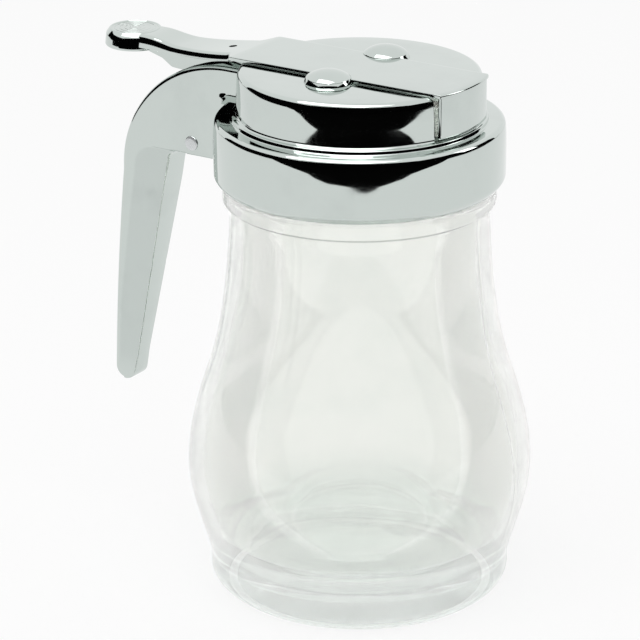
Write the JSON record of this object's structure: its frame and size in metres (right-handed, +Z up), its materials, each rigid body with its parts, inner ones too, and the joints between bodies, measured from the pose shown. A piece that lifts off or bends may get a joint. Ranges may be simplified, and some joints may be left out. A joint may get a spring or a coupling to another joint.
{
  "type": "syrup dispenser",
  "caption": "Bell-shaped glass syrup jar with a chromed screw lid, side handle and sprung thumb slide that opens the pour mouth.",
  "frame": {"origin": "centre of the jar's foot, on the surface it stands on", "axes": "+Z up along the jar's axis, +X towards the pour mouth, the handle and the thumb pad towards -X"},
  "size_m": [0.1089, 0.0794, 0.1259],
  "materials": {
    "clear_glass": "polished",
    "chrome": "polished",
    "spring_steel": "satin",
    "seal_rubber": "matte"
  },
  "bodies": {
    "jar": {"glass_jar": "clear_glass"},
    "seal": {"jar_gasket": "seal_rubber"},
    "lid": {"lid_body": "chrome", "guide_rivet_near": "chrome", "guide_rivet_far": "chrome", "spring_pin": "spring_steel", "return_spring": "spring_steel"},
    "slide": {"thumb_slide": "chrome"}
  },
  "joints": [
    {"name": "lid_rise", "type": "slide", "parent": "jar", "child": "seal", "axis": [0, 0, 1], "range_m": [0, 0.0063]},
    {"name": "lid_turn", "type": "hinge", "parent": "seal", "child": "lid", "pos_m": [0, 0, 0.097], "axis": [0, 0, 1], "range_deg": [0, 450]},
    {"name": "slide_travel", "type": "slide", "parent": "lid", "child": "slide", "axis": [-1, 0, 0], "range_m": [0, 0.0075], "stiffness_N_per_m": 400, "springref_m": -0.01, "deforming": ["return_spring"]}
  ],
  "couplings": [
    {"joint": "lid_rise", "follows": "lid_turn", "m_per_rad": 0.00079577}
  ]
}
